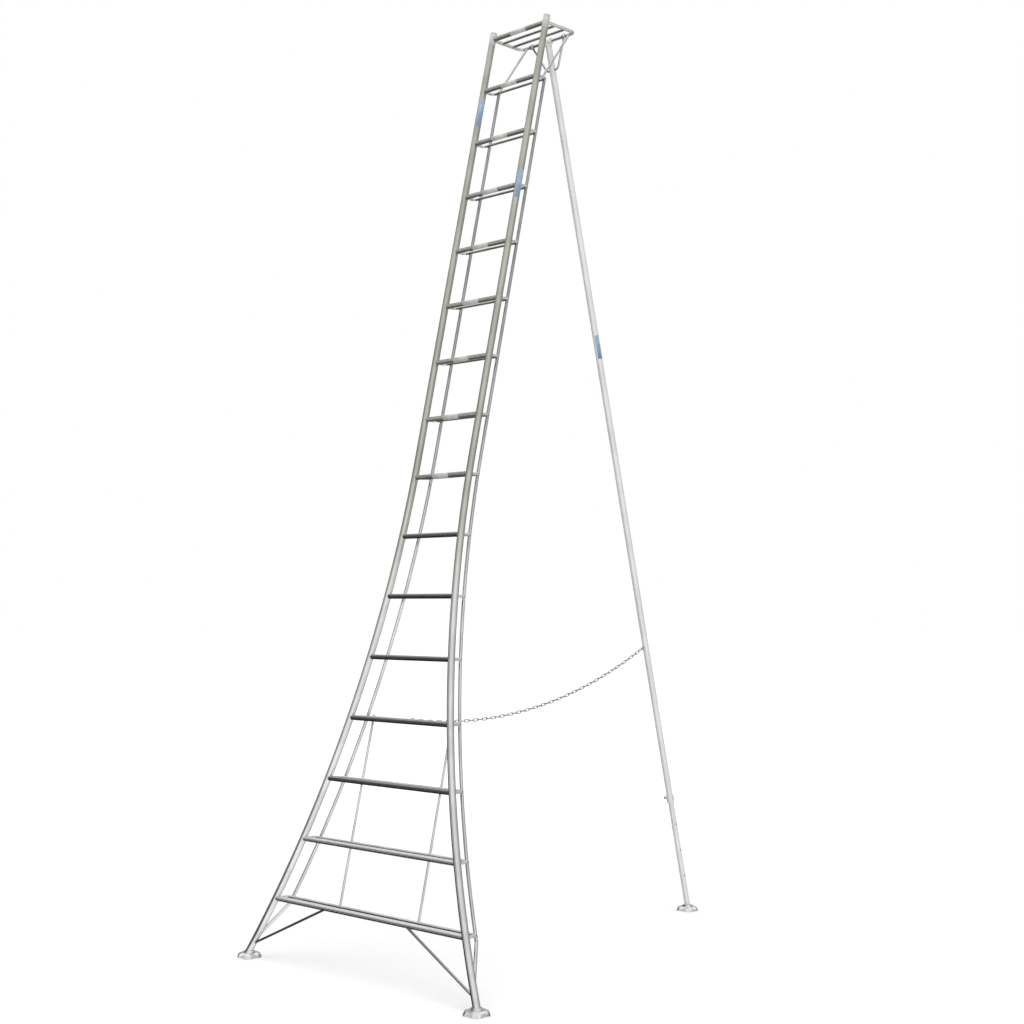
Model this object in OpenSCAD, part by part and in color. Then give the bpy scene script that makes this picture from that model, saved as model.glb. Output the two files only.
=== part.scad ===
// Tripod orchard ladder of aluminium tube: a flared climbing frame with
// two-tube treads, a slatted top platform, a folding rear leg that telescopes
// on a row of pin holes, a tie chain and three claw feet.
// The origin is on the ground, midway between the front feet and the rear foot.

/* [Climbing frame] */
// Number of rungs below the platform
rung_count = 15; // [13:1:15]
// Distance between rungs, measured up the slope
rung_pitch = 300; // [285:1:310]
// Lean of the climbing frame from upright, in degrees
frame_lean = 13; // [11:0.5:15]
// Distance between the stile axes at the top
top_width = 382; // [370:1:420]
// Distance up the slope at which the stiles begin to flare
flare_start = 2506; // [2400:1:2600]
// Radius of the flare, which runs to the ground
flare_radius = 5390; // [5200:10:5800]
// Distance from the front feet to the rear foot
base_depth = 2429; // [2300:1:2550]

/* [Tubes] */
// Outer diameter of the stiles
stile_d = 34; // [32:0.5:38]
// Wall of the stiles
stile_wall = 1.8; // [1.5:0.1:3]
// Outer diameter of the rails behind the stiles
rail_d = 16; // [14:0.5:18]
// Outer diameter of the front tread tubes
rung_d = 24; // [20:0.5:26]
// Outer diameter of the bent rear tread bars
bar_d = 14; // [12:0.5:16]
// Wall of the rails, rungs and bars
tube_wall = 1.5; // [1.2:0.1:2]
// Diameter of the two truss rods
truss_d = 11; // [9:0.5:12]
// Diameter of the foot braces and platform braces
brace_d = 12; // [10:0.5:13]

/* [Treads] */
// Distance from each stile axis back to its rail
rail_back = 85; // [80:1:95]
// Distance that each rail stands inboard of its stile
rail_inset = 28; // [26:1:32]
// Bend radius of the rear tread bars
tread_bend = 20; // [18:0.5:22]
// Number of treads that the truss rods tie, counted from the ground
truss_treads = 4; // [3:1:5]
// Distance from the middle plane to each truss rod
truss_x = 275; // [240:1:285]

/* [Platform] */
// Depth of the platform from the front rung to its rear bar
platform_depth = 220; // [200:1:250]
// Diameter of the platform's bent frame
platform_d = 18; // [16:0.5:20]
// Bend radius of the platform frame
platform_bend = 32; // [28:1:36]
// Number of slats between front rung and rear bar
slat_count = 2; // [2:1:3]
// Diameter of the slats
slat_d = 16; // [14:0.5:18]
// Rise of the stile tops above the front rung
stile_rise = 30; // [25:1:60]

/* [Rear leg] */
// Outer diameter of the leg's lower tube
lower_d = 30; // [28:0.5:32]
// Wall of the upper and lower leg tubes
leg_wall = 2; // [1.8:0.1:2.5]
// Distance between the pin holes
hole_pitch = 150; // [140:1:160]
// Steps of travel each way from the middle hole
hole_steps = 3; // [2:1:3]
// Distance of the locking pin from the rear foot
pin_height = 623; // [600:1:660]
// Length of the collar at the pin
collar_len = 44; // [40:1:60]
// Diameter of the locking pin
pin_d = 9; // [8:0.5:10]
// Drop of the yoke's foot below the hinge
yoke_drop = 150; // [130:1:170]
// Distance between the middles of the yoke's eyes
yoke_span = 230; // [200:1:240]
// Diameter of the yoke rod
yoke_d = 11; // [10:0.5:12]

/* [Feet] */
// Diameter across the claws of a foot
foot_d = 118; // [108:1:130]
// Height of a foot from the ground to its top face
foot_h = 24; // [22:1:28]
// Thickness of the foot plate
foot_t = 3.5; // [3:0.1:4]
// Diameter of the flange on top of a foot
flange_d = 52; // [48:1:56]
// Thickness of that flange
flange_t = 8; // [7:0.5:12]

/* [Chain] */
// Number of links, an odd number
chain_links = 57; // [55:2:59]
// Wire of the chain and of its two eyes
chain_wire = 4; // [3.5:0.1:4.2]
// Slack, as a share of the distance between the eyes
slack_share = 0.0145; // [0.008:0.0005:0.02]
// Distance of the leg's eye below the hinge
eye_drop = 3290; // [3200:1:3350]

/* [Hidden] */
round_fn = 48;
$fn = round_fn;
// Segments of a full turn where the flare's large arc is drawn
flare_fn = 720;
link_fn = 16;
// Reach of a cut beyond the surface that it leaves
overrun = 5;
// Depth to which a welded rod beds into the bar that it crosses
weld_bed = 0.8;
// Radial running clearance of hinge, telescope and pin
run_clear = 0.08;
// Share of a tube's diameter that a coping cylinder extends past it each way
cope_share = 2;
// Gap at a coped end, which the weld fills
cope_gap = 0.1;

// Stiles
half_top = top_width / 2;
flange_top = foot_h + flange_t;
foot_s = flange_top / cos(frame_lean);
front_y = -base_depth / 2 - flange_top * tan(frame_lean);
platform_s = (rung_count + 1) * rung_pitch;
stile_top = platform_s + stile_rise;

// Distances behind a stile axis
bar_back = tidy(rail_back - ((rail_d + bar_d) / 2 - weld_bed) / cos(frame_lean));
truss_back = bar_back + ((truss_d + bar_d) / 2 - weld_bed) / cos(frame_lean);
rail_top = rung_count * rung_pitch + bar_d;
heel_drop_share = 2.2;
rail_heel = rung_pitch - heel_drop_share * bar_d;
heel_foot_share = 0.32;
rail_foot = heel_foot_share * rung_pitch;
truss_top = truss_treads * rung_pitch + bar_d;
truss_foot = rung_pitch - bar_d;
foot_brace_s = foot_s + stile_d;
platform_brace_x = (yoke_span + top_width - brace_d) / 4;

// Lengthwise grip grooves of the tread tubes
groove_count = 12;
groove_d = 3;
groove_share = 0.45;
groove_depth = groove_share * tube_wall;

// Platform and hinge
platform_y = front_y + platform_s * sin(frame_lean);
platform_z = platform_s * cos(frame_lean);
hinge = [0, platform_y + platform_depth, platform_z];
bore_d = platform_d + 2 * run_clear;
eye_wall = 5;
eye_d = platform_d + 2 * eye_wall;
eye_w = 20;

// Leg, measured down from the hinge
leg_angle = atan2(base_depth / 2 - hinge.y, hinge.z - flange_top);
leg_len = norm([base_depth / 2 - hinge.y, hinge.z - flange_top]);
leg_bore = lower_d + 2 * run_clear;
leg_d = leg_bore + 2 * leg_wall;
head_lip = 1;
head_d = leg_d + 2 * head_lip;
head_w = 44;
head_drop = 26;
spigot_len = 34;
pin_drop = leg_len - pin_height;
pin_hole_d = pin_d + 2 * run_clear;
collar_wall = 4;
collar_d = leg_d + 2 * collar_wall;
leg_end = pin_drop + collar_len / 2;
travel = hole_steps * hole_pitch;
overlap_share = 5.7;
lower_start = pin_drop - travel - overlap_share * collar_len;
yoke_foot_x = yoke_drop / 4;
knuckle_lip = 0.5;
knuckle_d = yoke_d + 2 * knuckle_lip;
pin_recess = 1;
pin_tip = collar_d / 2 - pin_recess;
knob_d = 2 * pin_d;
knob_share = 1.8;
knob_w = knob_share * pin_d;
knob_neck_share = 0.7;
knob_gap = 1;

// Feet
foot_top_share = 0.68;
foot_shoulder_share = 0.9;
foot_shoulder_drop = 6;
scallop_share = 0.27;
scallop_web = 0.5;
scallop_r = scallop_share * foot_d;
scallop_drop = scallop_r + foot_t + scallop_web - foot_h;
bolt_d = 10;
bolt_head_d = 18;
bolt_head_h = 6.4;
bolt_clear = 0.1;
// Shares of the flange's thickness that its tapped hole and the bolt reach
tapped_share = 0.75;
bolt_reach_share = 0.7;
cap_h = 8;
cap_edge = 2;
cap_spigot = 20;

// Chain
eye_share = 2.2;
eye_r = eye_share * chain_wire;
link_clear = 0.3;
link_share = 1.5;
link_r = link_share * chain_wire;
eye_seat = eye_r - chain_wire - link_clear;
solve_steps = 30;

aluminium = "silver";
tread_grey = "dimgray";
steel = "slategray";
zinc = "lightslategray";
cap_grey = "gray";

// Length to the nearest hundredth, so that pieces meet face to face
function tidy(x) = round(x * 100) / 100;

function two(k) = str(k < 10 ? "0" : "", k);
function rung_name(k) = str("rung_", two(k));
function bar_name(k) = str("tread_bar_", two(k));

// Half width between the stile axes, and their splay, at a distance up the slope
function splay_at(s) = s >= flare_start ? 0 : asin((flare_start - s) / flare_radius);
function half_at(s) = tidy(half_top + flare_radius * (1 - cos(splay_at(s))));
function stile_at(s) = [half_at(s), front_y + s * sin(frame_lean), s * cos(frame_lean)];
function centre_at(s, back) = [0, front_y + s * sin(frame_lean) + back, s * cos(frame_lean)];
function rail_at(s) = stile_at(s) + [-rail_inset, rail_back, 0];
function rung_s(k) = k * rung_pitch;
function leg_at(y, drop) = hinge + [0, y * cos(leg_angle) + drop * sin(leg_angle),
                                    y * sin(leg_angle) - drop * cos(leg_angle)];
function flip(p) = [-p.x, p.y, p.z];

// Bent rods: straight runs between the points, with an arc at each inner point
function unit(v) = v / norm(v);
function turn(p, i) = acos(unit(p[i] - p[i - 1]) * unit(p[i + 1] - p[i]));
function trim(p, i, r) = i == 0 || i == len(p) - 1 ? 0 : r * tan(turn(p, i) / 2);

module straight(a, b, d) {
    run = b - a;
    translate(a) rotate([0, acos(run.z / norm(run)), atan2(run.y, run.x)])
        cylinder(d = d, h = norm(run));
}

module elbow(p, i, d, r) {
    along = unit(p[i] - p[i - 1]);
    next = unit(p[i + 1] - p[i]);
    inward = unit(next - along * (along * next));
    c = p[i] - along * trim(p, i, r) + inward * r;
    up = cross(-inward, along);
    multmatrix([[-inward.x, along.x, up.x, c.x],
                [-inward.y, along.y, up.y, c.y],
                [-inward.z, along.z, up.z, c.z]])
        rotate_extrude(angle = turn(p, i)) translate([r, 0]) circle(d = d);
}

module rod(p, d, r = 0) {
    for (i = [0 : len(p) - 2]) {
        along = unit(p[i + 1] - p[i]);
        straight(p[i] + along * trim(p, i, r), p[i + 1] - along * trim(p, i + 1, r), d);
    }
    if (len(p) > 2) for (i = [1 : len(p) - 2]) elbow(p, i, d, r);
}

module both_sides() {
    children();
    mirror([1, 0, 0]) children();
}

module on_slope() translate([0, front_y, 0]) rotate([-frame_lean, 0, 0]) children();
module on_leg() translate(hinge) rotate([leg_angle, 0, 0]) children();

// Straight top and flare of a stile or rail, in the slope plane
module flared(d, low, high) {
    translate([half_top, 0, flare_start]) cylinder(d = d, h = high - flare_start);
    translate([half_top + flare_radius, 0, flare_start]) rotate([90, 0, 0]) rotate([0, 0, 180])
        rotate_extrude(angle = splay_at(low), $fn = flare_fn)
            translate([flare_radius, 0]) circle(d = d, $fn = round_fn);
}

// The stile or rail beside a tread, as a cylinder to cope other tubes against
module stile_core(s) on_slope() translate([half_at(s), 0, s]) rotate([0, -splay_at(s), 0])
    cylinder(d = stile_d + 2 * cope_gap, h = 2 * cope_share * stile_d, center = true);

module rail_core(s) translate([-rail_inset, rail_back, 0]) on_slope()
    translate([half_at(s), 0, s]) rotate([0, -splay_at(s), 0])
        cylinder(d = rail_d + 2 * cope_gap, h = 2 * cope_share * rail_d, center = true);

module truss_core() straight(centre_at(truss_foot, truss_back) + [truss_x, 0, 0],
                             centre_at(truss_top, truss_back) + [truss_x, 0, 0], truss_d);

// Everything below the top of the foot flanges
module under_feet() translate([-platform_s / 2, -base_depth, flange_top - base_depth])
    cube([platform_s, 2 * base_depth, base_depth]);

module stile() color(aluminium) difference() {
    on_slope() difference() {
        flared(stile_d, 0, stile_top);
        flared(stile_d - 2 * stile_wall, -overrun, stile_top + overrun);
    }
    under_feet();
}

module left_stile() mirror([1, 0, 0]) stile();
module right_stile() stile();

module rail() color(aluminium) translate([-rail_inset, rail_back, 0]) on_slope() difference() {
    flared(rail_d, rail_heel, rail_top);
    flared(rail_d - 2 * tube_wall, rail_heel - overrun, rail_top + overrun);
}

module left_rail() mirror([1, 0, 0]) rail();
module right_rail() rail();

// Space of a rail's lower end
module above_heel() translate([-rail_inset, rail_back, 0]) on_slope()
    translate([half_at(rail_heel), 0, rail_heel]) rotate([0, -splay_at(rail_heel), 0])
        translate([0, 0, -cope_gap]) cylinder(d = cope_share * rail_d, h = cope_share * rail_d);

// Strut from the lower end of each rail forward to its stile, with a rounded bend
module rail_heels() color(aluminium) both_sides() difference() {
    union() {
        straight(rail_at(rail_heel), stile_at(rail_foot), rail_d);
        translate(rail_at(rail_heel)) sphere(d = rail_d + 2 * knuckle_lip);
    }
    stile_core(rail_foot);
    above_heel();
}

// Front tube of a tread, coped to both stiles
module cross_tube(s, d) difference() {
    straight(flip(stile_at(s)), stile_at(s), d);
    straight(flip(stile_at(s)) - [overrun, 0, 0], stile_at(s) + [overrun, 0, 0], d - 2 * tube_wall);
    both_sides() stile_core(s);
}

module grooves(s) for (i = [0 : groove_count - 1])
    translate(centre_at(s, 0)) rotate([i * 360 / groove_count, 0, 0])
        translate([0, 0, rung_d / 2 - groove_depth + groove_d / 2])
            hinge_barrel(groove_d, 2 * half_at(s));

module tread_tube(s) color(tread_grey) difference() {
    cross_tube(s, rung_d);
    grooves(s);
}

module rung(k) tread_tube(rung_s(k));
module platform_rung() tread_tube(platform_s);

// U-bent tube from stile to stile around the back of a tread
module u_tube(s, back, d, bend) {
    end = [half_at(s), 0, 0];
    corner = [half_at(s), back, 0];
    route = [flip(end), flip(corner), corner, end];
    difference() {
        translate(centre_at(s, 0)) difference() {
            rod(route, d, bend);
            rod(route, d - 2 * tube_wall, bend);
        }
        both_sides() stile_core(s);
    }
}

module tread_bar(k) color(aluminium) difference() {
    u_tube(rung_s(k), bar_back, bar_d, tread_bend);
    both_sides() {
        rail_core(rung_s(k));
        if (k <= truss_treads) truss_core();
    }
}

module truss_rods() color(aluminium) both_sides() truss_core();

module foot_braces() color(aluminium) both_sides() difference() {
    straight(stile_at(foot_brace_s), centre_at(rung_pitch, 0) + [truss_x, 0, 0], brace_d);
    stile_core(foot_brace_s);
    straight(centre_at(rung_pitch, 0), stile_at(rung_pitch), rung_d);
}

module platform_frame() color(aluminium)
    u_tube(platform_s, platform_depth, platform_d, platform_bend);

module platform_slats() color(tread_grey) for (i = [1 : slat_count]) {
    back = platform_depth * i / (slat_count + 1);
    side = stile_at(platform_s) + [0, back, 0];
    difference() {
        straight(flip(side), side, slat_d);
        straight(flip(side), side, slat_d - 2 * tube_wall);
        both_sides() straight(side - [0, slat_d, 0], side + [0, slat_d, 0], platform_d);
    }
}

module platform_braces() color(aluminium) both_sides() {
    low = centre_at(rung_s(rung_count), bar_back) + [platform_brace_x, 0, 0];
    high = hinge + [platform_brace_x, 0, 0];
    aside = [2 * brace_d, 0, 0];
    difference() {
        straight(low, high, brace_d);
        straight(low - aside, low + aside, bar_d);
        straight(high - aside, high + aside, platform_d);
    }
}

module stile_caps() color(cap_grey) both_sides() on_slope() translate([half_top, 0, stile_top])
    rotate_extrude() polygon([[0, -cap_spigot], [stile_d / 2 - stile_wall, -cap_spigot],
        [stile_d / 2 - stile_wall, 0], [stile_d / 2, 0],
        [stile_d / 2, cap_h - cap_edge], [stile_d / 2 - cap_edge, cap_h], [0, cap_h]]);

// Dished plate cut back between four claws that point along the diagonals
module claw_foot() color(aluminium) difference() {
    rotate_extrude() polygon([[0, foot_h], [foot_d / 2 * foot_top_share, foot_h],
        [foot_d / 2 * foot_shoulder_share, foot_h - foot_shoulder_drop], [foot_d / 2, 0],
        [foot_d / 2 - foot_t, 0],
        [foot_d / 2 * foot_shoulder_share - foot_t, foot_h - foot_shoulder_drop - foot_t / 2],
        [foot_d / 2 * foot_top_share - foot_t / 2, foot_h - foot_t], [0, foot_h - foot_t]]);
    for (a = [0, 90]) rotate([0, 0, a]) translate([0, 0, -scallop_drop]) rotate([90, 0, 0])
        cylinder(r = scallop_r, h = foot_d + overrun, center = true);
    translate([0, 0, foot_h - foot_t - overrun])
        cylinder(d = bolt_d + 2 * bolt_clear, h = foot_t + 2 * overrun);
}

// Welded to the tube, with a blind tapped hole for the foot's bolt
module flange() color(aluminium) difference() {
    translate([0, 0, foot_h]) cylinder(d = flange_d, h = flange_t);
    translate([0, 0, foot_h - overrun])
        cylinder(d = bolt_d + 2 * bolt_clear, h = overrun + tapped_share * flange_t);
}

module foot_bolt() color(steel) {
    translate([0, 0, foot_h - foot_t]) cylinder(d = bolt_d, h = foot_t + bolt_reach_share * flange_t);
    translate([0, 0, foot_h - foot_t - bolt_head_h]) cylinder(d = bolt_head_d, h = bolt_head_h, $fn = 6);
}

module at_front_foot() translate([half_at(foot_s), -base_depth / 2, 0]) children();
module at_rear_foot() translate([0, base_depth / 2, 0]) children();

module front_foot_flanges() both_sides() at_front_foot() flange();
module left_claw_foot() mirror([1, 0, 0]) at_front_foot() claw_foot();
module right_claw_foot() at_front_foot() claw_foot();
module front_foot_bolts() both_sides() at_front_foot() foot_bolt();
module rear_foot_flange() at_rear_foot() flange();
module rear_claw_foot() at_rear_foot() claw_foot();
module rear_foot_bolt() at_rear_foot() foot_bolt();

module eye_ring() rotate([0, 90, 0]) rotate_extrude() translate([eye_r, 0]) circle(d = chain_wire);

module rung_chain_eye() color(zinc) {
    bar = centre_at(rung_s(truss_treads), bar_back);
    difference() {
        translate(bar + [0, bar_d / 2 + eye_r, 0]) eye_ring();
        straight(bar - [eye_r, 0, 0], bar + [eye_r, 0, 0], bar_d);
    }
}

module leg_chain_eye() color(zinc) on_leg() difference() {
    translate([0, -leg_d / 2 - eye_r, -eye_drop]) eye_ring();
    translate([0, 0, -eye_drop]) cylinder(d = leg_d, h = 4 * eye_r, center = true);
}

// Hanging chain: the tangent of each link's slope grows evenly from link to link
function slopes(a, b, w) = [for (i = [0 : len(w) - 1]) atan(a + b * (i - (len(w) - 1) / 2))];
function reach(w, t) = [w * [for (q = t) cos(q)], w * [for (q = t) sin(q)]];
function mean_slope(b, w, goal, low, high, steps) = let (m = (low + high) / 2) steps == 0 ? m
    : let (r = reach(w, slopes(m, b, w))) r.y * goal.x > r.x * goal.y
        ? mean_slope(b, w, goal, low, m, steps - 1) : mean_slope(b, w, goal, m, high, steps - 1);
function hang(w, goal, low, high, steps) = let (m = (low + high) / 2,
        a = mean_slope(m, w, goal, goal.y / goal.x - 1, goal.y / goal.x + 1, solve_steps))
    steps == 0 ? [a, m]
    : norm(reach(w, slopes(a, m, w))) > norm(goal)
        ? hang(w, goal, m, high, steps - 1) : hang(w, goal, low, m, steps - 1);

// One link along Y, lying flat
module link(inner) {
    run = inner + chain_wire - 2 * link_r;
    both_sides() translate([link_r, 0, 0]) rotate([90, 0, 0])
        cylinder(d = chain_wire, h = run, center = true, $fn = link_fn);
    for (a = [0, 180]) rotate([0, 0, a]) translate([0, run / 2, 0])
        rotate_extrude(angle = 180, $fn = 2 * link_fn) translate([link_r, 0])
            circle(d = chain_wire, $fn = link_fn);
}

module chain() color(zinc) {
    start = centre_at(rung_s(truss_treads), bar_back) + [0, bar_d / 2 + eye_r, 0];
    span = leg_at(-leg_d / 2 - eye_r, eye_drop) - start;
    goal = [span.y, span.z];
    step = tidy((norm(goal) * (1 + slack_share) - 2 * eye_seat - chain_wire - link_clear) / chain_links);
    inner = step + link_clear;
    lead = eye_seat + (inner + chain_wire) / 2;
    w = [for (i = [1 : chain_links]) i == 1 || i == chain_links ? lead + step / 2 : step];
    ab = hang(w, goal, 0, 4 / chain_links, solve_steps);
    t = slopes(ab[0], ab[1], w);
    at = [for (i = 0, p = [lead * cos(t[0]), lead * sin(t[0])]; i < chain_links; i = i + 1,
               p = i < chain_links
                   ? p + step / 2 * [cos(t[i - 1]) + cos(t[i]), sin(t[i - 1]) + sin(t[i])] : p) p];
    for (i = [0 : chain_links - 1])
        translate(start + [0, at[i][0], at[i][1]]) rotate([t[i], 0, 0])
            rotate([0, i % 2 * 90, 0]) link(inner);
}

// Rear leg: a head that swings on the platform's rear bar, and the upper tube
module hinge_barrel(d, w) rotate([0, 90, 0]) cylinder(d = d, h = w, center = true);

module leg_head() color(aluminium) on_leg() difference() {
    union() {
        hinge_barrel(head_d, head_w);
        translate([0, 0, -head_drop]) cylinder(d = leg_d, h = head_drop);
        translate([0, 0, -head_drop - spigot_len]) cylinder(d = leg_bore, h = spigot_len + overrun);
    }
    hinge_barrel(bore_d, head_w + 2 * overrun);
}

module cross_hole(d, drop) translate([0, 0, -drop]) rotate([0, 90, 0])
    cylinder(d = d, h = 2 * collar_d, center = true);

module leg_tube() color(aluminium) on_leg() difference() {
    translate([0, 0, -leg_end]) cylinder(d = leg_d, h = leg_end - head_drop);
    translate([0, 0, -leg_end - overrun]) cylinder(d = leg_bore, h = leg_end - head_drop + 2 * overrun);
    cross_hole(yoke_d, yoke_drop);
    cross_hole(pin_hole_d, pin_drop);
}

// Forged rod through the leg, with an eye at each end around the rear bar
module leg_yoke() color(aluminium) on_leg() {
    foot = [yoke_foot_x, 0, -yoke_drop];
    difference() {
        union() {
            straight(flip(foot), foot, yoke_d);
            both_sides() {
                translate(foot) sphere(d = knuckle_d);
                straight(foot, [yoke_span / 2, 0, 0], yoke_d);
                translate([yoke_span / 2, 0, 0]) hinge_barrel(eye_d, eye_w);
            }
        }
        both_sides() translate([yoke_span / 2, 0, 0]) hinge_barrel(bore_d, eye_w + 2 * overrun);
    }
}

module leg_collar() color(steel) on_leg() difference() {
    translate([0, 0, -leg_end]) cylinder(d = collar_d, h = collar_len);
    translate([0, 0, -leg_end - overrun]) cylinder(d = leg_d, h = collar_len + 2 * overrun);
    cross_hole(pin_hole_d, pin_drop);
}

module lower_tube() color(aluminium) difference() {
    on_leg() difference() {
        translate([0, 0, -leg_len - flange_t]) cylinder(d = lower_d, h = leg_len + flange_t - lower_start);
        translate([0, 0, -leg_len - flange_t - overrun])
            cylinder(d = lower_d - 2 * leg_wall, h = leg_len + flange_t - lower_start + 2 * overrun);
        for (i = [-hole_steps : hole_steps]) cross_hole(pin_hole_d, pin_drop + i * hole_pitch);
    }
    under_feet();
}

module lock_pin() color(zinc) on_leg() translate([-collar_d / 2 - knob_gap - knob_w, 0, -pin_drop])
    rotate([0, 90, 0]) cylinder(d = pin_d, h = collar_d / 2 + knob_gap + knob_w + pin_tip);

module pin_knob() color(zinc) on_leg() translate([-collar_d / 2 - knob_gap - knob_w, 0, -pin_drop])
    rotate([0, 90, 0]) rotate_extrude() polygon([[pin_d / 2, 0], [knob_d / 2 - knob_gap, 0],
        [knob_d / 2, knob_gap], [knob_d / 2, knob_w / 2], [pin_d / 2 + knob_gap, knob_neck_share * knob_w],
        [pin_d / 2 + knob_gap, knob_w], [pin_d / 2, knob_w]]);

left_stile();
right_stile();
left_rail();
right_rail();
rail_heels();
for (k = [1 : rung_count]) rung(k);
for (k = [1 : rung_count]) tread_bar(k);
truss_rods();
foot_braces();
platform_rung();
platform_frame();
platform_slats();
platform_braces();
stile_caps();
front_foot_flanges();
left_claw_foot();
right_claw_foot();
front_foot_bolts();
rung_chain_eye();
chain();
leg_head();
leg_tube();
leg_yoke();
leg_chain_eye();
leg_collar();
lower_tube();
rear_foot_flange();
rear_claw_foot();
rear_foot_bolt();
lock_pin();
pin_knob();
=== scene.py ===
"""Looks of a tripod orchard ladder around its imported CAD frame.

Finishes for the CAD pieces, weld beads, blank label films, the tie chain, the leg's
bent yoke, sleeves on the stile tops, and a white studio.
"""
import logging
import math
from dataclasses import dataclass
from enum import Enum
from typing import Callable, ClassVar

import bmesh
import bpy
from mathutils import Matrix, Vector


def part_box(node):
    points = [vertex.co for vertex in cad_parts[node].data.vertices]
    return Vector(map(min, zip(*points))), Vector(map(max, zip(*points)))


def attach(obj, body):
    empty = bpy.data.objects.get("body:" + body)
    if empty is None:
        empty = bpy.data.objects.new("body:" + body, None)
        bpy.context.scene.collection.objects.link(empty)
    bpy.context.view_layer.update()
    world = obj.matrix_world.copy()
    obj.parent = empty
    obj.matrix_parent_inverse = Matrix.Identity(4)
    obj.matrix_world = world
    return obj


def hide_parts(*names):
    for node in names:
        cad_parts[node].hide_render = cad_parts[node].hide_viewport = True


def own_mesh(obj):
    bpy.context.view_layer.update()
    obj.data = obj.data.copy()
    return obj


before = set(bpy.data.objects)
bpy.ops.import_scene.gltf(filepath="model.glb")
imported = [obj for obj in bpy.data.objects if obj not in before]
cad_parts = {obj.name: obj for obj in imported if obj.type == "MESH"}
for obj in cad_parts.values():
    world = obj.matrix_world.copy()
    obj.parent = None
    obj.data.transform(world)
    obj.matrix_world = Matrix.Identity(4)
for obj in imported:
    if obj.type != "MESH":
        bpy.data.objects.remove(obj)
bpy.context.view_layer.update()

LOG = logging.getLogger("ladder")
RUNG_COUNT = 15
RUNGS, BARS = ([f"{kind}_{k:02d}" for k in range(1, RUNG_COUNT + 1)]
               for kind in ("rung", "tread_bar"))
SIDES = (-1, 1)
ACROSS = Vector((1, 0, 0))
UPWARD = Vector((0, 0, 1))
WHITE = (1, 1, 1, 1)
Colour = tuple[float, float, float, float]
Triple = tuple[float, float, float]
Span = tuple[float, float]
Edges = list[bmesh.types.BMEdge]


class Body(str, Enum):
    """The CAD bodies that pieces ride on."""

    FRONT = "front_frame"
    LEG = "rear_leg"
    LOWER = "lower_leg"


class Slot(str, Enum):
    """The record's material slots that the new pieces belong to."""

    TUBE = "tube"
    TREAD = "tread"
    CHAIN = "chain"
    CAP = "cap"


class Run(Enum):
    """The direction in which a tube was drawn, which its die lines follow."""

    SLOPE = 1
    LEG = 2
    ACROSS = 3


def centre(node: str) -> Vector:
    """Middle of a CAD node's box."""
    low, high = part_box(node)
    return (low + high) / 2


@dataclass(frozen=True)
class Slope:
    """The climbing frame's plane, by the sine and cosine of its lean, and its stiles' line."""

    foot_y: float
    sin: float
    cos: float
    pitch: float
    half_top: float
    stile_r: float = 0.017
    rail_r: float = 0.008
    bar_r: float = 0.007
    flare_start: float = 2.506
    flare_radius: float = 5.390

    @classmethod
    def from_frame(cls) -> "Slope":
        """Reads the slope from the rungs' places in the frame.

        Returns:
            The slope plane with its rung pitch and the stiles' half width at the top.
        """
        low, high = centre(RUNGS[0]), centre(RUNGS[-1])
        run = high - low
        step = run / (RUNG_COUNT - 1)
        half_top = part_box("right_stile")[0].x + cls.stile_r
        lean = math.atan2(run.y, run.z)
        return cls((low - step).y, math.sin(lean), math.cos(lean), step.length, half_top)

    def splay(self, s: float) -> float:
        """Angle at which the stiles splay outward at a distance up the slope."""
        return math.asin(max(self.flare_start - s, 0.0) / self.flare_radius)

    def half(self, s: float) -> float:
        """Half width between the stile axes at a distance up the slope."""
        return self.half_top + self.flare_radius * (1 - math.cos(self.splay(s)))

    def stile(self, s: float, side: int) -> Vector:
        """Point on a stile's axis; side is -1 for left and 1 for right."""
        return Vector((side * self.half(s), self.foot_y + s * self.sin, s * self.cos))

    def stile_axis(self, s: float, side: int) -> Vector:
        """Direction of a stile's axis, upward."""
        up = Vector((0, self.sin, self.cos))
        return up * math.cos(self.splay(s)) - Vector((side * math.sin(self.splay(s)), 0, 0))


@dataclass(frozen=True)
class Leg:
    """The rear leg's line from its hinge down to the foot, and radii there, in metres."""

    hinge: Vector
    down: Vector
    length: float
    bar_r: ClassVar[float] = 0.009
    tube_r: ClassVar[float] = 0.01708
    lower_r: ClassVar[float] = 0.015

    @classmethod
    def from_frame(cls) -> "Leg":
        """Reads the leg's line from the platform's rear bar and the rear foot.

        Returns:
            The leg's line in the frame at rest.
        """
        hinge = Vector((0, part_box("platform_frame")[1].y - cls.bar_r, centre("platform_rung").z))
        foot = centre("rear_claw_foot")
        foot.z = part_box("rear_foot_flange")[1].z
        run = foot - hinge
        return cls(hinge, run.normalized(), run.length)

    def at(self, drop: float, x: float = 0.0) -> Vector:
        """Point on the leg's axis below the hinge, moved aside by x."""
        return self.hinge + self.down * drop + Vector((x, 0, 0))


SLOPE = Slope.from_frame()
LEG = Leg.from_frame()


def maths(operation: str) -> "Callable[..., Value]":
    """Makes a method for values.

    Args:
        operation: Operation of the Math node that the method adds.

    Returns:
        The method, which takes the other values or numbers of the operation.
    """
    def method(value: "Value", *others: "Value | float") -> "Value":
        """Adds the node and returns its output."""
        return value.graph.node("ShaderNodeMath", {"operation": operation}, [value, *others])
    return method


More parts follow.
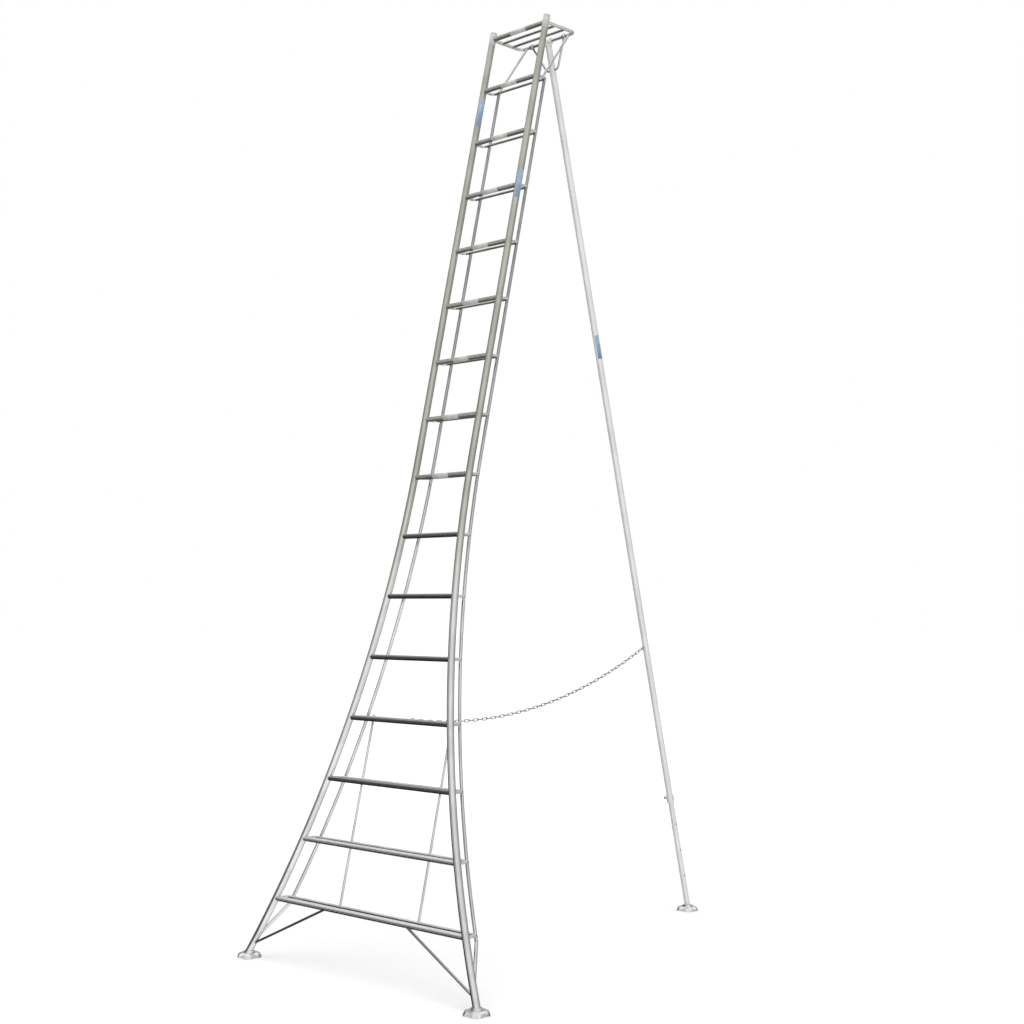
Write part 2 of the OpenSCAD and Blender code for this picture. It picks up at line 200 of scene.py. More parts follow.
class Value:
    """A shader output that takes Python arithmetic; each operation adds one Math node."""

    __add__ = __radd__ = maths("ADD")
    __mul__ = __rmul__ = maths("MULTIPLY")
    __sub__ = maths("SUBTRACT")
    __truediv__ = maths("DIVIDE")
    __abs__ = maths("ABSOLUTE")
    __round__ = maths("ROUND")
    root = maths("SQRT")
    at_least = maths("MAXIMUM")

    def __init__(self, graph: "Graph", socket: bpy.types.NodeSocket) -> None:
        """Wraps one output socket of a graph."""
        self.graph = graph
        self.socket = socket

    def __rsub__(self, other: float) -> "Value":
        """Difference from a number."""
        return self * -1 + other

    def ramp(self, low: float, high: float) -> "Value":
        """Smooth step from 0 at low to 1 at high, which may lie below low.

        Args:
            low: Value at which the step starts.
            high: Value at which the step ends.

        Returns:
            The step as a value from 0 to 1.
        """
        if low > high:
            return 1 - self.ramp(high, low)
        return self.graph.node("ShaderNodeMapRange", {"interpolation_type": "SMOOTHSTEP"},
                               {"Value": self, "From Min": low, "From Max": high})


class Graph:
    """Node tree of a material or world, in which one method makes every node."""

    def __init__(self, tree: bpy.types.NodeTree) -> None:
        """Takes over a node tree and empties it."""
        self.tree = tree
        tree.nodes.clear()

    def node(self, kind: str, settings: dict | None = None, inputs: "dict | list | None" = None,
             output: "int | str" = 0) -> Value | None:
        """Makes one node.

        Args:
            kind: Blender's name for the node's type.
            settings: Attributes that are set first.
            inputs: Numbers, colours or values for its sockets, by name or index.
            output: Output socket that is returned.

        Returns:
            The chosen output, or None for a node that has none.
        """
        made = self.tree.nodes.new(kind)
        for key, value in (settings or {}).items():
            setattr(made, key, value)
        pairs = inputs.items() if isinstance(inputs, dict) else enumerate(inputs or [])
        for key, value in pairs:
            if isinstance(value, Value):
                self.tree.links.new(value.socket, made.inputs[key])
            else:
                made.inputs[key].default_value = value
        return Value(self, made.outputs[output]) if made.outputs else None

    def split(self, vector: Value) -> list[Value]:
        """The three parts of a vector."""
        made = self.node("ShaderNodeSeparateXYZ", None, [vector]).socket.node
        return [Value(self, socket) for socket in made.outputs]

    def spot(self) -> Value:
        """Object coordinates as one vector, in metres."""
        return self.node("ShaderNodeTexCoord", None, None, "Object")

    def place(self) -> list[Value]:
        """The three object coordinates, in metres."""
        return self.split(self.spot())

    def vector(self, *parts: "Value | float") -> Value:
        """A vector from three values."""
        return self.node("ShaderNodeCombineXYZ", None, list(parts))

    def noise(self, vector: Value, scale: float, detail: float = 3.0) -> Value:
        """Noise from 0 to 1 with features of one over scale metres."""
        return self.node("ShaderNodeTexNoise", None,
                         {"Vector": vector, "Scale": scale, "Detail": detail})

    def mix(self, factor: "Value | float", a: "Colour | Value", b: "Colour | Value",
            blend: str = "MIX") -> Value:
        """Colour from a at factor 0 to b, or to the blend of both, at factor 1."""
        return self.node("ShaderNodeMix", {"data_type": "RGBA", "blend_type": blend},
                         {0: factor, 6: a, 7: b}, 2)

    def bump(self, height: Value, depth: float, strength: float = 1.0) -> Value:
        """Normal from a height of 0 to 1 over a depth in metres."""
        return self.node("ShaderNodeBump", None,
                         {"Strength": strength, "Distance": depth, "Height": height})

    def surface(self, inputs: dict) -> None:
        """Ends a material in a Principled shader with these socket values."""
        shader = self.node("ShaderNodeBsdfPrincipled", None, inputs)
        self.node("ShaderNodeOutputMaterial", None, {"Surface": shader})

    def along(self, run: Run, stretch: float) -> Value:
        """Coordinates that are stretched along a tube's length.

        Args:
            run: Direction in which the tube was drawn.
            stretch: How many times longer than wide a feature is.

        Returns:
            A vector, in metres, for a noise.
        """
        x, y, z = self.place()
        if run is Run.ACROSS:
            return self.vector(x / stretch, y, z)
        if run is Run.LEG:
            drop = (y - LEG.hinge.y) * LEG.down.y + (z - LEG.hinge.z) * LEG.down.z
            out = (y - LEG.hinge.y) * -LEG.down.z + (z - LEG.hinge.z) * LEG.down.y
            return self.vector(x, out, drop / stretch)
        s, back = self.slope(y, z)
        short = (SLOPE.flare_start - s).at_least(0.0)
        flare = SLOPE.flare_radius - (SLOPE.flare_radius ** 2 - short * short).root()
        return self.vector(abs(x) - flare, back, s / stretch)

    def slope(self, y: Value, z: Value) -> tuple[Value, Value]:
        """Distance up the slope and behind its plane, from object coordinates."""
        sin, cos = SLOPE.sin, SLOPE.cos
        return (y - SLOPE.foot_y) * sin + z * cos, (y - SLOPE.foot_y) * cos - z * sin


@dataclass(frozen=True)
class Finish:
    """A finish that paints one material and keeps it for its pieces."""

    name: str

    def paint(self, graph: Graph) -> None:
        """Builds the shader; each finish has its own."""
        raise NotImplementedError

    def material(self) -> bpy.types.Material:
        """The finish's material, made on first use."""
        found = bpy.data.materials.get(self.name)
        if found:
            return found
        made = bpy.data.materials.new(self.name)
        made.use_nodes = True
        self.paint(Graph(made.node_tree))
        return made


@dataclass(frozen=True)
class DrawnAluminium(Finish):
    """Drawn tube: die lines along its length, cloudy oxide and dull rubbed spots."""

    run: Run
    bright: Colour
    dull: Colour
    roughness: float
    line_scale: float = 1400.0
    line_stretch: float = 160.0
    line_depth: float = 0.00004
    cloud_scale: float = 7.0
    rub_scale: float = 60.0
    # Between two heights the colour is multiplied by this tint and roughness rises, so the tube is
    # darker towards the top.
    upper_tint: Colour = WHITE
    upper_tint_from: float = 1.6
    upper_tint_to: float = 3.2
    upper_roughness: float = 0.0
    metallic: float = 1.0

    def paint(self, graph: Graph) -> None:
        """Builds the metal shader; a lower metallic share leaves a white oxide bloom."""
        place, upper_share = graph.spot(), graph.place()[2].ramp(self.upper_tint_from, self.upper_tint_to)
        lines = graph.noise(graph.along(self.run, self.line_stretch), self.line_scale, 2.0)
        clouds = graph.noise(place, self.cloud_scale, 4.0).ramp(0.35, 0.65)
        rubbed = graph.noise(place, self.rub_scale, 5.0).ramp(0.58, 0.72)
        tone = (clouds * 0.55 + lines * 0.45).ramp(0.1, 0.9)
        drawn = graph.mix(tone, self.dull, self.bright)
        tint = graph.mix(upper_share, WHITE, self.upper_tint)
        graph.surface({
            "Base Color": graph.mix(1.0, drawn, tint, "MULTIPLY"),
            "Metallic": self.metallic,
            "Roughness": (lines * 0.1 + rubbed * 0.14 + (1 - clouds) * 0.05 + self.roughness
                          + upper_share * self.upper_roughness),
            "Normal": graph.bump(lines, self.line_depth),
        })


@dataclass(frozen=True)
class GripTread(Finish):
    """Grooved tread tube: painted shade below, a painted highlight on top, dark oxide in the
    grooves and metal that boots rub bright.

    The lowest two treads are rubbed bright all round the front.
    """

    groove_floor: float = 0.0113
    crest: float = 0.0119
    # The tops' lighter colour is a painted highlight.
    top: Colour = (0.40, 0.395, 0.38, 1)
    side: Colour = (0.12, 0.12, 0.115, 1)
    high_side: Colour = (0.60, 0.59, 0.54, 1)
    rubbed: Colour = (0.92, 0.915, 0.90, 1)
    # The near-black undersides, low and high, are painted shade.
    painted_under_shade: Colour = (0.03, 0.03, 0.028, 1)
    high_painted_under_shade: Colour = (0.17, 0.165, 0.15, 1)
    groove: Colour = (0.04, 0.04, 0.036, 1)
    rubbed_to: tuple[float, float] = (0.66, 0.82)
    high_from: tuple[float, float] = (1.9, 2.6)
    speck_scale: float = 300.0
    speck_depth: float = 0.00005
    drag_scale: float = 260.0
    drag_stretch: float = 9.0
    ragged: float = 0.004

    def paint(self, graph: Graph) -> None:
        """Builds the shader, with the distance from the nearest rung's axis as its guide."""
        x, y, z = graph.place()
        s, back = graph.slope(y, z)
        off = s - round(s / SLOPE.pitch) * SLOPE.pitch
        radius = (off * off + back * back).root()
        place = graph.spot()
        drag = graph.noise(graph.vector(x / self.drag_stretch, y, z), self.drag_scale, 4.0)
        specks = graph.noise(place, self.speck_scale, 3.0)
        polish = 1 - z.ramp(*self.rubbed_to)
        crest = radius.ramp(self.groove_floor, self.crest).at_least(polish * 0.95)
        worn = drag.ramp(0.42, 0.7)
        height = off * SLOPE.cos - back * SLOPE.sin + (drag - 0.5) * self.ragged
        high = z.ramp(*self.high_from)
        flank = graph.mix(high * (worn * 0.3 + 0.7), self.side, self.high_side)
        # The top of each rung is lighter than its flanks: a painted highlight.
        crown = graph.mix(height.ramp(0.002, 0.009), flank, self.top)
        metal = graph.mix(polish * (worn * 0.1 + 0.9), crown, self.rubbed)
        # Below the rung's axis the colour turns near-black: painted shade standing in for the dark
        # ground that metal reflects there.
        painted_under_shade = graph.mix(high, self.painted_under_shade, self.high_painted_under_shade)
        lit = graph.mix((height + polish * 0.003).ramp(-0.008, -0.002), painted_under_shade, metal)
        graph.surface({
            "Base Color": graph.mix(crest, self.groove, lit),
            "Metallic": 0.6 + polish * 0.4 - high * 0.35,
            "Roughness": 0.36 - worn * 0.08 - polish * 0.16 + specks * 0.1,
            "Normal": graph.bump(specks, self.speck_depth),
        })


@dataclass(frozen=True)
class Zinc(Finish):
    """Galvanised wire: spangle in patches over a dull grey."""

    light: Colour = (0.50, 0.505, 0.51, 1)
    dark: Colour = (0.26, 0.265, 0.275, 1)
    spangle_scale: float = 420.0
    grime_scale: float = 90.0
    pit_scale: float = 900.0
    pit_depth: float = 0.00006

    def paint(self, graph: Graph) -> None:
        """Builds the shader."""
        place = graph.spot()
        spangle = graph.node("ShaderNodeTexVoronoi", {"feature": "F1"},
                             {"Vector": place, "Scale": self.spangle_scale}, "Color")
        patch = graph.split(spangle)[0]
        grime = graph.noise(place, self.grime_scale, 4.0).ramp(0.4, 0.7)
        graph.surface({
            "Base Color": graph.mix(patch * 0.45 + (1 - grime) * 0.55, self.dark, self.light),
            "Metallic": 1.0,
            "Roughness": patch * 0.16 + grime * 0.12 + 0.3,
            "Normal": graph.bump(graph.noise(place, self.pit_scale), self.pit_depth),
        })


@dataclass(frozen=True)
class CastMetal(Finish):
    """Cast aluminium foot: sandy skin in clean and dull patches, darker and browner in its lowest
    few millimetres.
    """

    clean: Colour = (0.90, 0.90, 0.89, 1)
    dull: Colour = (0.72, 0.72, 0.71, 1)
    bottom_tint: Colour = (0.20, 0.175, 0.145, 1)
    bottom_tint_height: Span = (0.002, 0.009)
    bottom_tint_ragged: float = 0.006
    bottom_tint_share: float = 0.3
    cloud_scale: float = 70.0
    grain_scale: float = 1500.0
    grain_depth: float = 0.00012

    def paint(self, graph: Graph) -> None:
        """Builds the shader."""
        place, z = graph.spot(), graph.place()[2]
        grain = graph.noise(place, self.grain_scale, 2.0)
        cloud = graph.noise(place, self.cloud_scale, 4.0)
        # The lowest few millimetres turn darker, browner, rougher and less metallic, with a ragged
        # edge.
        clear = (z + cloud * self.bottom_tint_ragged).ramp(*self.bottom_tint_height)
        bottom_tint_mix = (1 - clear) * self.bottom_tint_share
        metal = graph.mix(cloud.ramp(0.35, 0.65), self.dull, self.clean)
        graph.surface({
            "Base Color": graph.mix(bottom_tint_mix, metal, self.bottom_tint),
            "Metallic": 1 - bottom_tint_mix * 0.8,
            "Roughness": grain * 0.12 + bottom_tint_mix * 0.4 + 0.16,
            "Normal": graph.bump(grain, self.grain_depth),
        })


@dataclass(frozen=True)
class WeldMetal(Finish):
    """Weld bead: ripples across the seam on metal that is a little duller than the tubes."""

    light: Colour = (0.74, 0.74, 0.72, 1)
    dark: Colour = (0.47, 0.465, 0.45, 1)
    ripple_scale: float = 520.0
    ripple_depth: float = 0.0003
    ripple_strength: float = 0.7
    swirl: float = 2.5
    cloud_scale: float = 120.0

    def paint(self, graph: Graph) -> None:
        """Builds the shader."""
        place = graph.spot()
        ripple = graph.node("ShaderNodeTexWave", {"bands_direction": "DIAGONAL"},
                            {"Vector": place, "Scale": self.ripple_scale / math.tau,
                             "Distortion": self.swirl, "Detail": 2.0, "Detail Scale": 2.0}, 1)
        cloud = graph.noise(place, self.cloud_scale, 3.0)
        graph.surface({
            "Base Color": graph.mix(ripple * 0.5 + cloud * 0.5, self.dark, self.light),
            "Metallic": 1.0,
            "Roughness": cloud * 0.15 + 0.28,
            "Normal": graph.bump(ripple, self.ripple_depth, self.ripple_strength),
        })


@dataclass(frozen=True)
class MouldedPlastic(Finish):
    """Grey plastic plug with a fine moulded grain and paler scuffs."""

    base: Colour = (0.46, 0.46, 0.45, 1)
    scuffed: Colour = (0.60, 0.60, 0.59, 1)
    grain_scale: float = 1800.0
    grain_depth: float = 0.00008
    scuff_scale: float = 140.0

    def paint(self, graph: Graph) -> None:
        """Builds the shader."""
        place = graph.spot()
        grain = graph.noise(place, self.grain_scale, 2.0)
        scuff = graph.noise(place, self.scuff_scale, 5.0).ramp(0.5, 0.72)
        graph.surface({
            "Base Color": graph.mix(scuff * 0.7, self.base, self.scuffed),
            "Metallic": 0.0,
            "Roughness": grain * 0.12 + scuff * 0.1 + 0.42,
            "Normal": graph.bump(grain, self.grain_depth),
        })


@dataclass(frozen=True)
class LabelFilm(Finish):
    """Blank adhesive film: satin, sun-faded in patches, with fine rubbed scratches."""

    fresh: Colour
    faded: Colour
    fade_scale: float = 38.0
    scratch_scale: float = 700.0
    scratch_stretch: float = 30.0
    scratch_depth: float = 0.00003

    def paint(self, graph: Graph) -> None:
        """Builds the shader."""
        place = graph.spot()
        fade = graph.noise(place, self.fade_scale, 4.0).ramp(0.38, 0.62)
        lengthwise = graph.along(Run.SLOPE, self.scratch_stretch)
        scratch = graph.noise(lengthwise, self.scratch_scale, 2.0).ramp(0.62, 0.7)
        graph.surface({
            "Base Color": graph.mix(fade * 0.7 + scratch * 0.3, self.fresh, self.faded),
            "Metallic": 0.0,
            "Roughness": fade * 0.1 + scratch * 0.15 + 0.38,
            "Normal": graph.bump(scratch, self.scratch_depth),
        })


STILE_FINISH = DrawnAluminium("stile_aluminium", Run.SLOPE, (0.90, 0.90, 0.90, 1),
                              (0.74, 0.74, 0.74, 1), 0.12, upper_tint=(0.66, 0.655, 0.58, 1),
                              upper_tint_from=1.3, upper_tint_to=2.5, upper_roughness=0.14)
RAIL_FINISH = DrawnAluminium("rail_aluminium", Run.SLOPE, (0.84, 0.84, 0.83, 1),
                             (0.68, 0.68, 0.67, 1), 0.16, upper_tint=(0.62, 0.625, 0.62, 1),
                             upper_roughness=0.1)
BAR_FINISH = DrawnAluminium("bar_aluminium", Run.ACROSS, (0.82, 0.815, 0.80, 1),
                            (0.64, 0.635, 0.62, 1), 0.16)
PLATFORM_FINISH = DrawnAluminium("platform_aluminium", Run.ACROSS, (0.86, 0.855, 0.84, 1),
                                 (0.70, 0.695, 0.68, 1), 0.2)
# The foot braces take a darker copy of the drawn aluminium: painted shade for braces that stand low
# in shade.
PAINTED_SHADE_BRACE_FINISH = DrawnAluminium("brace_aluminium_painted_shade", Run.SLOPE, (0.50, 0.50, 0.48, 1),
                              (0.34, 0.34, 0.325, 1), 0.14)
LEG_FINISH = DrawnAluminium("leg_aluminium", Run.LEG, (0.85, 0.85, 0.85, 1),
                            (0.76, 0.76, 0.76, 1), 0.22, metallic=0.3)
TREAD_FINISH = GripTread("grip_tread")
ZINC_FINISH = Zinc("zinc_wire")
STEEL_FINISH = Zinc("plated_steel", (0.80, 0.80, 0.80, 1), (0.60, 0.60, 0.60, 1), 900.0)
FOOT_FINISH = CastMetal("cast_foot")
WELD_FINISH = WeldMetal("weld_bead")
CAP_FINISH = MouldedPlastic("cap_plastic")
BLUE_FILM = LabelFilm("blue_film", (0.20, 0.34, 0.52, 1), (0.34, 0.45, 0.56, 1))
PALE_FILM = LabelFilm("pale_film", (0.56, 0.545, 0.52, 1), (0.46, 0.45, 0.43, 1))


def add_object(name: str, data: bpy.types.ID) -> bpy.types.Object:
    """Puts a mesh, lamp or camera into the scene, at the origin."""
    made = bpy.data.objects.new(name, data)
    bpy.context.scene.collection.objects.link(made)
    return made


class Piece:
    """A new mesh piece in the making."""

    merge: ClassVar[float] = 0.000005

    def __init__(self, name: str) -> None:
        """Starts an empty mesh under a piece's name."""
        self.name = name
        self.bm = bmesh.new()

    def newest(self, start: int) -> list[bmesh.types.BMVert]:
        """Vertices that were added since the mesh had start vertices."""
        self.bm.verts.ensure_lookup_table()
        return self.bm.verts[start:]

    def ring(self, at: Vector, facing: Vector, across: Vector, radius: float,
             sides: int) -> Edges:
        """Draws one open circle.

        Args:
            at: Centre of the circle.
            facing: Normal of its plane.
            across: A direction in its plane.
            radius: Radius of the circle.
            sides: Number of its edges.

        Returns:
            The circle's edges.
        """
        up = facing.cross(across)
        turn = Matrix((across, up, facing)).transposed().to_4x4()
        made = bmesh.ops.create_circle(self.bm, segments=sides, radius=radius,
                                       matrix=Matrix.Translation(at) @ turn)
        return list(dict.fromkeys(edge for vert in made["verts"] for edge in vert.link_edges))

    def push(self, edges: Edges, by: Vector) -> Edges:
        """Extrudes a loop of edges and moves its far end.

        Args:
            edges: The loop.
            by: The way that the far end moves.

        Returns:
            The far end's edges.
        """
        made = bmesh.ops.extrude_edge_only(self.bm, edges=edges)["geom"]
        far = [g for g in made if isinstance(g, bmesh.types.BMVert)]
        bmesh.ops.translate(self.bm, vec=by, verts=far)
        return [g for g in made if isinstance(g, bmesh.types.BMEdge) and set(g.verts) <= set(far)]

    def swing(self, edges: Edges, about: Vector, axis: Vector, steps: int,
              angle: float = math.tau) -> Edges:
        """Spins a loop of edges through a bend, or the whole way round into a closed skin.

        Args:
            edges: The loop.
            about: Point on the bend's axis.
            axis: Direction of that axis.
            steps: Number of steps round it.
            angle: Angle of the bend, in radians.

        Returns:
            The far end's edges.
        """
        verts = dict.fromkeys(vert for edge in edges for vert in edge.verts)
        made = bmesh.ops.spin(self.bm, geom=[*verts, *edges], cent=about, axis=axis, angle=angle,
                              steps=steps, use_merge=angle == math.tau)
        return [g for g in made["geom_last"] if isinstance(g, bmesh.types.BMEdge)]

    def rod(self, route: list[Vector], radius: float, bend: float, sides: int = 20,
            steps: int = 12) -> None:
        """Sweeps a bent rod along a route with a round bend at each inner point.

        Args:
            route: Points that the rod's axis runs between.
            radius: Radius of the rod.
            bend: Radius of each bend.
            sides: Number of flats round the rod.
            steps: Number of steps round each bend.
        """
        ways = [(b - a).normalized() for a, b in zip(route, route[1:])]
        across = ways[0].orthogonal().normalized()
        edges = self.ring(route[0], ways[0], across, radius, sides)
        bmesh.ops.contextual_create(self.bm, geom=edges)
        here = route[0]
        for i, way in enumerate(ways):
            last = i == len(ways) - 1
            turn = 0.0 if last else way.angle(ways[i + 1])
            stop = route[i + 1] - way * (bend * math.tan(turn / 2))
            edges = self.push(edges, stop - here)
            if last:
                break
            axis = way.cross(ways[i + 1]).normalized()
            inward = axis.cross(way)
            edges = self.swing(edges, stop + inward * bend, axis, steps, turn)
            here = route[i + 1] + ways[i + 1] * (bend * math.tan(turn / 2))
        bmesh.ops.contextual_create(self.bm, geom=edges)

    def lathe(self, at: Vector, axis: Vector, outline: list[tuple[float, float]],
              steps: int = 48) -> None:
        """Turns a closed outline round an axis.

        Args:
            at: Origin of the outline on the axis.
            axis: Direction of the axis.
            outline: Radius and height of each corner.
            steps: Number of steps round.
        """
        out = axis.orthogonal().normalized()
        verts = [self.bm.verts.new(at + out * r + axis * h) for r, h in outline]
        edges = [self.bm.edges.new(pair) for pair in zip(verts, verts[1:] + verts[:1])]
        self.swing(edges, at, axis, steps)

    def finish(self, material: Finish, slot: Slot) -> bpy.types.Object:
        """Closes the mesh and makes it an object in the scene.

        Args:
            material: The piece's finish.
            slot: The record's slot that the finish belongs to; not used.

        Returns:
            The new object, at the origin.
        """
        bmesh.ops.remove_doubles(self.bm, verts=self.bm.verts[:], dist=self.merge)
        bmesh.ops.recalc_face_normals(self.bm, faces=self.bm.faces[:])
        for face in self.bm.faces:
            face.smooth = True
        mesh = bpy.data.meshes.new(self.name)
        self.bm.to_mesh(mesh)
        self.bm.free()
        mesh.materials.append(material.material())
        made = add_object(self.name, mesh)
        LOG.info("%s: %d faces, %s", self.name, len(mesh.polygons), material.name)
        return made


@dataclass(frozen=True)
class TubeSeat:
    """The side of a tube that another tube is welded to."""

    point: Vector
    axis: Vector
    radius: float

    def travel(self, start: Vector, aim: Vector) -> float:
        """Distance from a point along an aim to the tube's surface.

        Args:
            start: The point.
            aim: The direction of travel.

        Returns:
            The distance to the side that is met first.
        """
        off = start - self.point
        off -= self.axis * off.dot(self.axis)
        way = aim - self.axis * aim.dot(self.axis)
        square, cross = way.length_squared, off.dot(way)
        inside = cross * cross - square * (off.length_squared - self.radius ** 2)
        return (-cross - math.sqrt(max(inside, 0.0))) / square


@dataclass(frozen=True)
class FlatSeat:
    """A flat face that a tube is welded to."""

    point: Vector
    axis: Vector

    def travel(self, start: Vector, aim: Vector) -> float:
        """Distance from a point along an aim to the face."""
        return (self.point - start).dot(self.axis) / aim.dot(self.axis)


@dataclass(frozen=True)
class Tacks:
    """Two rounded tacks where bars touch: how deep they sink, their offset and half sizes."""

    sink: float
    lift: Triple
    size: Triple

    def add(self, piece: Piece, at: Vector) -> None:
        """Sets the tacks on both sides of a point."""
        for side in SIDES:
            place = Matrix.Translation(at + Vector(self.lift) * side)
            bmesh.ops.create_uvsphere(piece.bm, u_segments=12, v_segments=8, radius=1.0,
                                      matrix=place @ Matrix.Diagonal(Vector(self.size)).to_4x4())


RAIL_TACKS = Tacks(0.0006, (0, 0, 0.0045), (0.009, 0.0032, 0.0032))
TRUSS_TACKS = Tacks(0.0008, (0, 0, 0.0045), (0.0065, 0.003, 0.003))
LEG_EYE_TACKS = Tacks(0.0026, (0, -0.0014, 0.006), (0.0035, 0.0026, 0.0045))
RUNG_EYE_TACKS = Tacks(0.0008, (0, 0, 0.004), (0.0035, 0.0028, 0.0035))


@dataclass
class Welds:
    """Weld beads round the tube ends, and tacks where bars cross."""

    bead: float = 0.0021
    sides: int = 8
    steps: int = 28
    stand_off: float = 0.1
    brace_r: float = 0.006
    brace_s: float = 0.0668
    truss_x: float = 0.275
    truss_treads: int = 4
    heel_s: float = 0.2692
    heel_foot_s: float = 0.096
    rail_back: float = 0.085
    rail_inset: float = 0.028
    rung_r: float = 0.012
    slat_r: float = 0.008
    slats: int = 2
    platform_brace_x: float = 0.150
    head_drop: float = 0.026
    head_inset: float = 0.0008

    def bead_ring(self, piece: Piece, joint: Vector, aim: Vector, radius: float,
                  seat: TubeSeat | FlatSeat) -> None:
        """Lays one bead round a tube's end.

        Args:
            piece: The piece that the bead belongs to.
            joint: Point of the tube's axis near the joint.
            aim: Direction from the tube into what it is welded to.
            radius: Radius of the tube.
            seat: What it is welded to.
        """
        start = len(piece.bm.verts)
        out = aim.orthogonal().normalized()
        root = joint - aim * self.stand_off
        edges = piece.ring(root + out * radius, aim.cross(out), aim, self.bead, self.sides)
        piece.swing(edges, root, aim, self.steps)
        for vert in piece.newest(start):
            vert.co += aim * seat.travel(vert.co, aim)

    def lay(self, body: Body, *pieces: Piece) -> None:
        """Finishes the weld pieces of one body."""
        for piece in pieces:
            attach(piece.finish(WELD_FINISH, Slot.TUBE), body.value)

    def stile_seat(self, s: float, side: int) -> TubeSeat:
        """The stile's side at a distance up the slope."""
        return TubeSeat(SLOPE.stile(s, side), SLOPE.stile_axis(s, side), SLOPE.stile_r)

    def treads(self) -> None:
        """Beads of the rungs and rear bars on the stiles, and tacks of the bars on the rails."""
        rungs, bars, tacks = Piece("rung_welds"), Piece("bar_welds"), Piece("rail_tacks")
        levels = [(rung, bar, SLOPE.bar_r) for rung, bar in zip(RUNGS, BARS)]
        levels.append(("platform_rung", "platform_frame", LEG.bar_r))
        for k, (rung, bar, bar_r) in enumerate(levels, 1):
            s = k * SLOPE.pitch
            low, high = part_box(rung)
            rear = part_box(bar)[1].y - RAIL_TACKS.sink
            for side in SIDES:
                seat = self.stile_seat(s, side)
                joint = SLOPE.stile(s, side)
                self.bead_ring(rungs, joint, Vector((side, 0, 0)), (high.z - low.z) / 2, seat)
                self.bead_ring(bars, joint, Vector((0, -1, 0)), bar_r, seat)
                if k <= RUNG_COUNT:
                    at = Vector((joint.x - side * self.rail_inset, rear, joint.z))
                    RAIL_TACKS.add(tacks, at)
        self.lay(Body.FRONT, rungs, bars, tacks)

    def strut(self, piece: Piece, low: Vector, high: Vector, radius: float,
              low_seat: TubeSeat, high_seat: TubeSeat | None = None) -> None:
        """Lays the beads at the ends of one straight rod.

        Args:
            piece: The piece that the beads belong to.
            low: One end of the rod's axis.
            high: The other end.
            radius: Radius of the rod.
            low_seat: What its low end is welded to.
            high_seat: What its high end is welded to, if that has a bead.
        """
        aim = (high - low).normalized()
        self.bead_ring(piece, low, -aim, radius, low_seat)
        if high_seat:
            self.bead_ring(piece, high, aim, radius, high_seat)

    def braces(self) -> None:
        """Beads of the rail heels and foot braces, and tacks of the truss rods."""
        heels, braces, tacks = Piece("heel_welds"), Piece("brace_welds"), Piece("truss_tacks")
        lowest = centre(RUNGS[0])
        for side in SIDES:
            rail = SLOPE.stile(self.heel_s, side)
            rail += Vector((-side * self.rail_inset, self.rail_back, 0))
            self.strut(heels, SLOPE.stile(self.heel_foot_s, side), rail, SLOPE.rail_r,
                       self.stile_seat(self.heel_foot_s, side))
            self.strut(braces, SLOPE.stile(self.brace_s, side),
                       lowest + ACROSS * (side * self.truss_x), self.brace_r,
                       self.stile_seat(self.brace_s, side), TubeSeat(lowest, ACROSS, self.rung_r))
            for rung, bar in zip(RUNGS[:self.truss_treads], BARS):
                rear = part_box(bar)[1].y - TRUSS_TACKS.sink
                at = Vector((side * self.truss_x, rear, centre(rung).z))
                TRUSS_TACKS.add(tacks, at)
        self.lay(Body.FRONT, heels, braces, tacks)

    def platform(self) -> None:
        """Beads of the platform's slats and braces."""
        slats, braces = Piece("slat_welds"), Piece("platform_brace_welds")
        front, rear = centre("platform_rung"), LEG.hinge
        top_bar = centre(RUNGS[-1])
        top_bar.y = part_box(BARS[-1])[1].y - SLOPE.bar_r
        for side in SIDES:
            for i in range(1, self.slats + 1):
                at = front + (rear - front) * (i / (self.slats + 1))
                edge = at + ACROSS * (side * SLOPE.half_top)
                self.bead_ring(slats, edge, ACROSS * side, self.slat_r,
                               TubeSeat(edge, Vector((0, 1, 0)), LEG.bar_r))
            aside = ACROSS * (side * self.platform_brace_x)
            self.strut(braces, top_bar + aside, rear + aside, self.brace_r,
                       TubeSeat(top_bar, ACROSS, SLOPE.bar_r), TubeSeat(rear, ACROSS, LEG.bar_r))
        self.lay(Body.FRONT, slats, braces)

    def leg(self) -> None:
        """Bead of the leg's head, and tacks of the chain's two eyes."""
        head, eye = Piece("leg_head_weld"), Piece("chain_eye_weld")
        neck = LEG.at(self.head_drop)
        self.bead_ring(head, neck, -LEG.down, LEG.tube_r - self.head_inset,
                       FlatSeat(neck, LEG.down))
        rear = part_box("leg_chain_eye")[1].y - LEG_EYE_TACKS.sink
        LEG_EYE_TACKS.add(head, Vector((0, rear, centre("leg_chain_eye").z)))
        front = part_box("rung_chain_eye")[0].y + RUNG_EYE_TACKS.sink
        RUNG_EYE_TACKS.add(eye, Vector((0, front, centre("rung_chain_eye").z)))
        self.lay(Body.LEG, head)
        self.lay(Body.FRONT, eye)

    def feet(self) -> None:
        """Beads where the stiles and the leg stand on their foot flanges."""
        front, rear = Piece("front_foot_welds"), Piece("rear_foot_weld")
        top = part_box("front_foot_flanges")[1].z
        s = top / SLOPE.cos
        for side in SIDES:
            self.bead_ring(front, SLOPE.stile(s, side), -SLOPE.stile_axis(s, side), SLOPE.stile_r,
                           FlatSeat(UPWARD * top, UPWARD))
        seat = FlatSeat(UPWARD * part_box("rear_foot_flange")[1].z, UPWARD)
        self.bead_ring(rear, LEG.at(LEG.length), LEG.down, LEG.lower_r, seat)
        self.lay(Body.FRONT, front)
        self.lay(Body.LOWER, rear)


